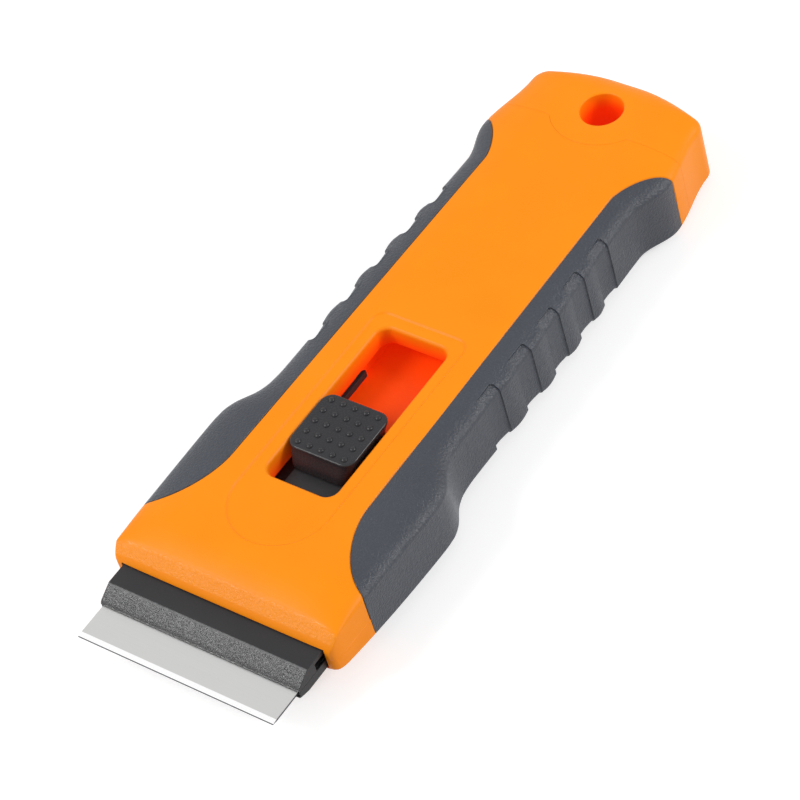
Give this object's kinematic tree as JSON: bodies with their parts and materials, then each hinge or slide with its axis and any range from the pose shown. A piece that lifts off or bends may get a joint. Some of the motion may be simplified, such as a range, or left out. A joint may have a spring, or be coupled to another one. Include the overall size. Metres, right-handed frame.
{
  "type": "retractable scraper",
  "caption": "Hand scraper with a thumb-button blade slide, ribbed side grips and a pull-out spare-blade magazine in the end cap.",
  "frame": {"origin": "centre of the footprint, on the flat underside that the scraper lies on", "axes": "-Y from the end cap towards the blade's cutting edge, +Z out of the face with the thumb button, +X to the right as seen from above with the blade nearest"},
  "size_m": [0.047, 0.138, 0.015],
  "materials": {
    "orange_plastic": "satin moulded, fine grain",
    "grip_rubber": "matte soft moulding, fine grain",
    "slider_plastic": "satin moulded",
    "blade_steel": "satin with a ground, bright edge",
    "screw_steel": "plated"
  },
  "bodies": {
    "handle": {"top_shell": "orange_plastic", "bottom_shell": "orange_plastic", "top_grip_left": "grip_rubber", "top_grip_right": "grip_rubber", "bottom_grip_left": "grip_rubber", "bottom_grip_right": "grip_rubber", "housing_screw_1": "screw_steel", "housing_screw_2": "screw_steel", "housing_screw_3": "screw_steel", "housing_screw_4": "screw_steel"},
    "slider": {"thumb_button": "slider_plastic", "blade_carrier": "slider_plastic", "upper_jaw": "slider_plastic", "lower_jaw": "slider_plastic", "jaw_pin_left": "screw_steel", "jaw_pin_right": "screw_steel", "blade": "blade_steel"},
    "magazine": {"end_cap": "orange_plastic", "blade_magazine": "orange_plastic", "magazine_door": "orange_plastic", "spare_blade_1": "blade_steel", "spare_blade_2": "blade_steel", "spare_blade_3": "blade_steel", "spare_blade_4": "blade_steel", "spare_blade_5": "blade_steel"}
  },
  "joints": [
    {"name": "blade_slide", "type": "slide", "parent": "handle", "child": "slider", "axis": [0, 1, 0], "range_m": [-0.0045, 0.0155]},
    {"name": "magazine_slide", "type": "slide", "parent": "handle", "child": "magazine", "axis": [0, 1, 0], "range_m": [0, 0.045]}
  ]
}
